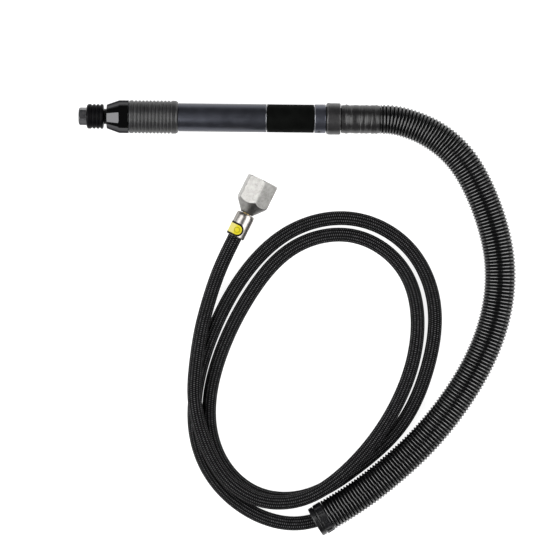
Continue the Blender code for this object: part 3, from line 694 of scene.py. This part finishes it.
def make_label():
    """Rounded tongue that wraps the ferrule, with a raised disc near its end."""
    radius = 0.00522
    half_width = 0.0038
    middle = 0.0039
    tip_angle = math.radians(215)
    tail_angle = math.radians(20)
    rows, columns = 121, 41
    arc = (tip_angle - tail_angle) * radius * np.linspace(0.0, 1.0, rows)
    from_disc = half_width - arc
    width = np.where(from_disc > 0, np.sqrt(np.maximum(half_width ** 2 - from_disc ** 2, 0.0)),
                     half_width)
    width = np.maximum(width, 0.00002)
    across = np.linspace(-1.0, 1.0, columns)
    along_axis = middle + width[:, None] * across[None, :]
    turn = tip_angle - arc[:, None] / radius + 0.0 * across[None, :]
    offset = np.stack([-from_disc[:, None] + 0.0 * across[None, :],
                       width[:, None] * across[None, :]], axis=2)
    distance = np.linalg.norm(offset, axis=2)
    edge = np.minimum(half_width - distance, 1.0)
    straight = from_disc[:, None] <= 0
    edge = np.where(straight, half_width - np.abs(offset[:, :, 1]), edge)
    rise = 0.00022 * np.sqrt(np.clip(edge / 0.00012, 0.0, 1.0))
    rise += 0.00012 * (1 - smooth_step(distance, 0.0012, 0.0014))
    rise -= 0.00008 * (np.abs(distance - 0.0015) < 0.00014)
    top = radius + rise
    bottom = np.full_like(top, radius - 0.00012)
    layers = []
    for level in (top, bottom):
        layers.append(np.stack([level * np.cos(turn), level * np.sin(turn), along_axis], axis=2))
    shape = bmesh.new()
    sides = []
    for layer in layers:
        sides.append([[shape.verts.new(p) for p in row] for row in layer.tolist()])
    uv = shape.loops.layers.uv.new("label")
    flat = {}
    for side in sides:
        for i in range(rows):
            for j in range(columns):
                flat[side[i][j]] = offset[i, j]
    for side in sides:
        for i in range(rows - 1):
            for j in range(columns - 1):
                shape.faces.new((side[i][j], side[i + 1][j], side[i + 1][j + 1], side[i][j + 1]))
    upper, lower = sides
    rim = [(0, j) for j in range(columns)] + [(i, columns - 1) for i in range(1, rows)]
    rim += [(rows - 1, j) for j in range(columns - 2, -1, -1)]
    rim += [(i, 0) for i in range(rows - 2, 0, -1)]
    for k, (i, j) in enumerate(rim):
        n, m = rim[(k + 1) % len(rim)]
        shape.faces.new((upper[i][j], upper[n][m], lower[n][m], lower[i][j]))
    for face in shape.faces:
        for loop in face.loops:
            loop[uv].uv = flat[loop.vert]
    mesh = bpy.data.meshes.new("ferrule_label")
    bmesh.ops.recalc_face_normals(shape, faces=shape.faces)
    shape.to_mesh(mesh)
    shape.free()
    mesh.shade_smooth()
    mesh.set_sharp_from_angle(angle=math.radians(50))
    return add_piece("ferrule_label", mesh, [LABEL], "handle", (), FITTING)


def make_stem():
    outline = filleted([
        (0.0224, 0.0052, 0.0003), (0.0189, 0.0052, 0.0003), (0.0189, 0.0022),
        (0.0113, 0.0022, 0.0002), (0.0113, 0.0014), (0.0224, 0.0014, 0.0003),
    ])
    mesh = turned_mesh("stem_barb", outline, 96)
    return add_piece("stem_barb", mesh, [BRASS], "handle", ["hose_stem"], FITTING)


def make_seal():
    outline = filleted([
        (0.0240, 0.0053, 0.0002), (0.0227, 0.0053, 0.0002), (0.0227, 0.0022),
        (0.0240, 0.0022, 0.0003),
    ])
    mesh = turned_mesh("inlet_seal", outline, 96)
    return add_piece("inlet_seal", mesh, [SEAL], "handle", ["seal_washer"],
                     FITTING)


def make_cords():
    overhose, overhose_line, overhose_length = make_overhose()
    clamp = make_end_clamp(overhose_line)
    hose, hose_line, hose_length = make_air_hose()
    fitting = [make_swivel_nut(), make_ferrule(), make_label(), make_stem(), make_seal()]


make_cords()


# ================================================================ collet and chuck

def cut_with(obj, cutters):
    """Cuts the cutters' shapes out of the piece and bakes the result into its mesh."""
    for cutter in cutters:
        boolean = obj.modifiers.new("cut", "BOOLEAN")
        boolean.operation = "DIFFERENCE"
        boolean.solver = "EXACT"
        boolean.object = cutter
    bpy.context.view_layer.update()
    graph = bpy.context.evaluated_depsgraph_get()
    mesh = bpy.data.meshes.new_from_object(obj.evaluated_get(graph))
    obj.modifiers.clear()
    mesh.shade_smooth()
    mesh.set_sharp_from_angle(angle=math.radians(32))
    obj.data = mesh
    for cutter in cutters:
        bpy.data.objects.remove(cutter)


def temporary(name, build, place):
    """A cutter's object, which cut_with removes again."""
    mesh = bpy.data.meshes.new(name)
    shape = bmesh.new()
    build(shape)
    shape.to_mesh(mesh)
    shape.free()
    obj = bpy.data.objects.new(name, mesh)
    obj.matrix_world = place
    bpy.context.scene.collection.objects.link(obj)
    return obj


def slab(size, centre, turn):
    def build(shape):
        bmesh.ops.create_cube(shape, size=1.0)
        bmesh.ops.scale(shape, verts=shape.verts, vec=size)
        bmesh.ops.translate(shape, verts=shape.verts, vec=centre)
        bmesh.ops.rotate(shape, verts=shape.verts, cent=(0, 0, 0),
                         matrix=Matrix.Rotation(turn, 3, "Z"))
    return build


def rod(radius, inner, outer, station, turn, sides=40):
    def build(shape):
        bmesh.ops.create_cone(shape, cap_ends=True, segments=sides, radius1=radius,
                              radius2=radius, depth=outer - inner)
        bmesh.ops.rotate(shape, verts=shape.verts, cent=(0, 0, 0),
                         matrix=Matrix.Rotation(math.radians(90), 3, "Y"))
        bmesh.ops.translate(shape, verts=shape.verts, vec=((inner + outer) / 2, 0, station))
        bmesh.ops.rotate(shape, verts=shape.verts, cent=(0, 0, 0),
                         matrix=Matrix.Rotation(turn, 3, "Z"))
    return build


def make_collet_nut():
    outline = finely(filleted([
        (0.0070, 0.0040, 0.0002), (0.00435, 0.0040), (0.00435, 0.0056),
        (0.0012, 0.0056), (0.0000, 0.0044, 0.0002), (0.0000, 0.00265, 0.0002),
        (0.0012, 0.00265), (0.0036, 0.0034), (0.0070, 0.0034),
    ]), 0.00012)
    mesh = turned_mesh("collet_nut_hex", outline, 240,
                       hex_relief(0.0090, NUT_VERTEX_ANGLE, 0.00012), 38)
    add_piece("collet_nut_hex", mesh, [DARK_STEEL], "clamping_nut",
              ["collet_nut"], TOOL)


def make_collet():
    outline = filleted([
        (0.0122, 0.0022, 0.0002), (0.0099, 0.0022), (0.0072, 0.00305, 0.0002),
        (0.0036, 0.00305, 0.0002), (0.0012, 0.0023), (0.0004, 0.0023, 0.0002),
        (0.0004, 0.00165, 0.0001), (0.0122, 0.00165),
    ])
    mesh = turned_mesh("split_collet", outline, 96)
    piece = add_piece("split_collet", mesh, [BRIGHT_STEEL], "collet_carriage",
                      ["collet"], TOOL)
    cut_with(piece, [
        temporary("slit", slab((0.0005, 0.0100, 0.0100), (0, 0, 0.0042), math.radians(turn)), TOOL)
        for turn in (45, -45)])


def make_chuck():
    outer = [(0.0140, 0.0059, 0.0002), (0.0138, 0.0067, 0.0003), (0.0133, 0.00705, 0.0003)]
    for groove in (0.0119, 0.00975, 0.0076):
        outer.append((groove + 0.00065, 0.00700, 0.0004))
        outer.append((groove + 0.00018, 0.00638, 0.0002))
        outer.append((groove - 0.00018, 0.00638, 0.0002))
        outer.append((groove - 0.00065, 0.00700, 0.0004))
    outer += [(0.0055, 0.00705, 0.0003), (0.00465, 0.0064, 0.0002)]
    bore = [(0.00465, 0.00435, 0.0001), (0.0073, 0.00435), (0.0073, 0.00345),
            (0.0101, 0.00255), (0.0102, 0.0035), (0.0140, 0.0035, 0.0001)]
    mesh = turned_mesh("ribbed_chuck", filleted(outer + bore), 160)
    add_piece("ribbed_chuck", mesh, [CHUCK], "rotor", ["chuck_body"], TOOL)


# ================================================================ casing

def make_nose():
    outline = filleted([
        (0.0283, 0.0093, 0.0001), (0.0229, 0.0093, 0.0002), (0.0159, 0.0068, 0.0004),
        (0.0159, 0.00465, 0.0002), (0.0189, 0.00465), (0.0189, 0.0068), (0.0244, 0.0068),
        (0.0244, 0.0077), (0.0283, 0.0077),
    ])
    mesh = turned_mesh("glossy_nose", outline, 192)
    add_piece("glossy_nose", mesh, [NOSE], "handle", ["nose_cap"], TOOL)


def make_grip():
    pitch = 0.00207
    first = 0.0313
    points = [(0.0562, 0.0084, 0.0003), (0.0558, 0.0089, 0.0004), (0.0549, 0.00935, 0.0006)]
    for i in reversed(range(11)):
        middle = first + i * pitch
        points += [
            (middle + 0.00070, 0.00940, 0.00045), (middle + 0.00012, 0.00876, 0.0002),
            (middle - 0.00012, 0.00876, 0.0002), (middle - 0.00070, 0.00940, 0.00045),
        ]
    points += [(0.0290, 0.0093, 0.0003), (0.0286, 0.0088, 0.0002)]
    points += [(0.0286, 0.0077), (0.0562, 0.0077)]
    mesh = turned_mesh("ribbed_grip", filleted(points), 192)
    add_piece("ribbed_grip", mesh, [GRIP], "handle", ["rubber_grip"], TOOL)


def make_barrel():
    outline = filleted([
        (0.1390, 0.0068), (0.10635, 0.0068), (0.10635, 0.00775, 0.0001),
        (0.1060, 0.0080, 0.0001), (0.0565, 0.0080, 0.0001), (0.0565, 0.0074),
        (0.0252, 0.0074), (0.0252, 0.0066), (0.0730, 0.0066), (0.0730, 0.0060),
        (0.1390, 0.0060),
    ])
    mesh = turned_mesh("barrel_casing", outline, 192, second_material=(0.1059, 0.1064))
    add_piece("barrel_casing", mesh, [GUNMETAL, EDGE_STEEL], "handle", ["housing"],
              TOOL)


def make_throttle():
    outline = filleted([
        (0.1332, 0.00775, 0.0004), (0.1328, 0.00795, 0.0004), (0.1068, 0.00795, 0.0001),
        (0.1066, 0.00775, 0.0001), (0.1066, 0.0071), (0.1332, 0.0071, 0.0001),
    ])
    mesh = turned_mesh("throttle_grip", outline, 192)
    add_piece("throttle_grip", mesh, [SLEEVE], "throttle",
              ["throttle_sleeve"], TOOL)


def make_rear_ring():
    """Dark ring with a bare front edge, and the screw sunk in its side."""
    screw_turn = math.radians(247)
    screw_station = 0.1361
    outline = filleted([
        (0.1398, 0.0079, 0.0001), (0.1394, 0.00815, 0.0001), (0.1339, 0.00815, 0.0001),
        (0.1335, 0.0078, 0.0001), (0.1335, 0.0071), (0.1398, 0.0071),
    ])
    mesh = turned_mesh("rear_collar", outline, 192, second_material=(0.1334, 0.13388))
    piece = add_piece("rear_collar", mesh, [RING_METAL, EDGE_STEEL], "handle",
                      ["rear_ring"], TOOL)
    cut_with(piece, [temporary("hole", rod(0.00125, 0.0060, 0.0090, screw_station, screw_turn), TOOL)])
    screw_mesh = bpy.data.meshes.new("collar_screw")
    shape = bmesh.new()
    rod(0.00105, 0.00712, 0.00785, screw_station, screw_turn, 48)(shape)
    shape.to_mesh(screw_mesh)
    shape.free()
    screw = add_piece("collar_screw", screw_mesh, [DARK_STEEL], "handle",
                      ["set_screw"], TOOL)
    socket = rod(0.0006, 0.0074, 0.0090, screw_station, screw_turn, 6)
    cut_with(screw, [temporary("socket", socket, TOOL)])


def make_cuff():
    """Rubber ring whose surface ripples a little and whose front lip is wavy."""
    outline = finely(filleted([
        (0.1482, 0.0086, 0.0004), (0.1477, 0.00895, 0.0005), (0.1408, 0.0090, 0.0008),
        (0.1401, 0.0084, 0.0004), (0.1401, 0.0071), (0.1482, 0.0071),
    ]), 0.00025)

    def relief(station, radius, angle):
        lip = 1 - smooth_step(station, 0.1406, 0.1430)
        ripple = 0.00010 * np.sin(5 * angle + 0.7) + 0.00007 * np.sin(11 * angle + 2.0)
        ripple += 0.00005 * np.sin(3 * angle + station * 1800)
        return radius + ripple * (0.35 + 0.65 * lip) * (radius > 0.0078) - 0.00004

    mesh = turned_mesh("rear_cuff", outline, 192, relief, 50)
    for vertex in mesh.vertices:
        if vertex.co.z < 0.1415 and math.hypot(vertex.co.x, vertex.co.y) > 0.0078:
            turn = math.atan2(vertex.co.y, vertex.co.x)
            wave = 0.5 + 0.35 * math.sin(3 * turn + 1.0) + 0.15 * math.sin(7 * turn)
            vertex.co.z += 0.0008 * wave * (1 - (vertex.co.z - 0.1401) / 0.0014)
    add_piece("rear_cuff", mesh, [CUFF], "handle", ["rubber_cuff"], TOOL)


def make_shrink_sleeve():
    """Heat-shrunk sleeve that clings to the ribs under it, with creases round it."""
    outline = finely(filleted([
        (0.1707, 0.0080, 0.0003), (0.1486, 0.0080, 0.0003), (0.1486, 0.00665),
        (0.1707, 0.00665),
    ]), 0.00018)
    creases = (0.1516, 0.1545, 0.1600, 0.1627, 0.1660, 0.1685)
    rib_spacing = 0.0055

    def relief(station, radius, angle):
        total = 0.00012 * np.cos(math.tau * (station - 0.1512) / rib_spacing)
        total += 0.00005 * np.sin(2 * angle + 900 * station)
        for k, crease in enumerate(creases):
            wander = 0.00025 * np.sin(angle * (2 + k % 3) + 1.3 * k)
            near = np.exp(-((station - crease - wander) / 0.00042) ** 2)
            strength = 0.75 + 0.25 * np.sin(angle * (1 + k % 2) + 2.1 * k)
            total += 0.00030 * near * strength
            valley = np.exp(-((station - crease - wander + 0.0009) / 0.00045) ** 2)
            total -= 0.00014 * valley * strength
        return radius + total * (radius > 0.0075)

    mesh = turned_mesh("wrinkled_sleeve", outline, 192, relief, 60)
    add_piece("wrinkled_sleeve", mesh, [SHRINK], "handle", ["shrink_sleeve"],
              TOOL)


make_collet_nut()
make_collet()
make_chuck()
make_nose()
make_grip()
make_barrel()
make_throttle()
make_rear_ring()
make_cuff()
make_shrink_sleeve()


# ================================================================ inner pieces

def dress(material, *nodes):
    """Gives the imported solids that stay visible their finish."""
    for name in nodes:
        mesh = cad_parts[name].data
        mesh.materials.clear()
        mesh.materials.append(material)


dress(CHUCK, "spindle")
dress(DARK_STEEL, "cylinder_liner")
dress(STEEL, "front_bearing_inner", "front_bearing_outer", "rear_bearing_inner",
      "rear_bearing_outer", "front_ball_cage", "rear_ball_cage", "wave_washer",
      "front_end_plate", "rear_end_plate", "bearing_retainer", "throttle_pin")
dress(BRASS, "inlet_body", "throttle_valve", "crimp_collar", "rear_lock_nut")
dress(COMPOSITE, "vane_1", "vane_2", "vane_3", "vane_4", "exhaust_muffler")
dress(SEAL, "o_ring_front", "o_ring_rear")
dress(SLEEVE, "overhose_spigot")


# ================================================================ studio

def make_floor():
    mesh = bpy.data.meshes.new("floor")
    shape = bmesh.new()
    bmesh.ops.create_grid(shape, x_segments=1, y_segments=1, size=3.0)
    bmesh.ops.translate(shape, verts=shape.verts, vec=(0, 0, -0.0001))
    shape.to_mesh(mesh)
    shape.free()
    floor = bpy.data.objects.new("floor", mesh)
    f = Finish("floor_paper", (0.35, 0.35, 0.35), 0.9)
    f.put(f.shader.inputs["Specular IOR Level"], 0.0)
    f.put(f.shader.inputs["Emission Color"], (1.0, 1.0, 1.0))
    f.put(f.shader.inputs["Emission Strength"], 0.90)
    mesh.materials.append(f.material)
    bpy.context.scene.collection.objects.link(floor)


def softbox(name, location, target, width, height, brightness):
    """A rectangular light of the given radiance, aimed at the target."""
    data = bpy.data.lights.new(name, "AREA")
    data.shape = "RECTANGLE"
    data.size = width
    data.size_y = height
    data.energy = brightness * width * height * math.pi
    light = bpy.data.objects.new(name, data)
    light.location = location
    aim = Vector(target) - Vector(location)
    light.rotation_euler = aim.to_track_quat("-Z", "Y").to_euler()
    bpy.context.scene.collection.objects.link(light)


def make_studio():
    world = bpy.data.worlds.new("studio")
    world.use_nodes = True
    background = world.node_tree.nodes["Background"]
    background.inputs["Color"].default_value = (1.0, 1.0, 1.0, 1.0)
    background.inputs["Strength"].default_value = 0.06
    bpy.context.scene.world = world
    bpy.context.scene.view_settings.view_transform = "Standard"
    softbox("left_box", (-0.67, -0.14, 0.60), (0.0, -0.02, 0.01), 1.06, 1.08, 4.3)
    softbox("right_box", (0.80, -0.12, 0.70), (0.05, -0.08, 0.01), 1.06, 1.00, 4.0)
    softbox("back_strip", (0.03, 1.05, 0.13), (0.03, -0.08, 0), 2.4, 0.16, 0.35)


make_floor()
make_studio()
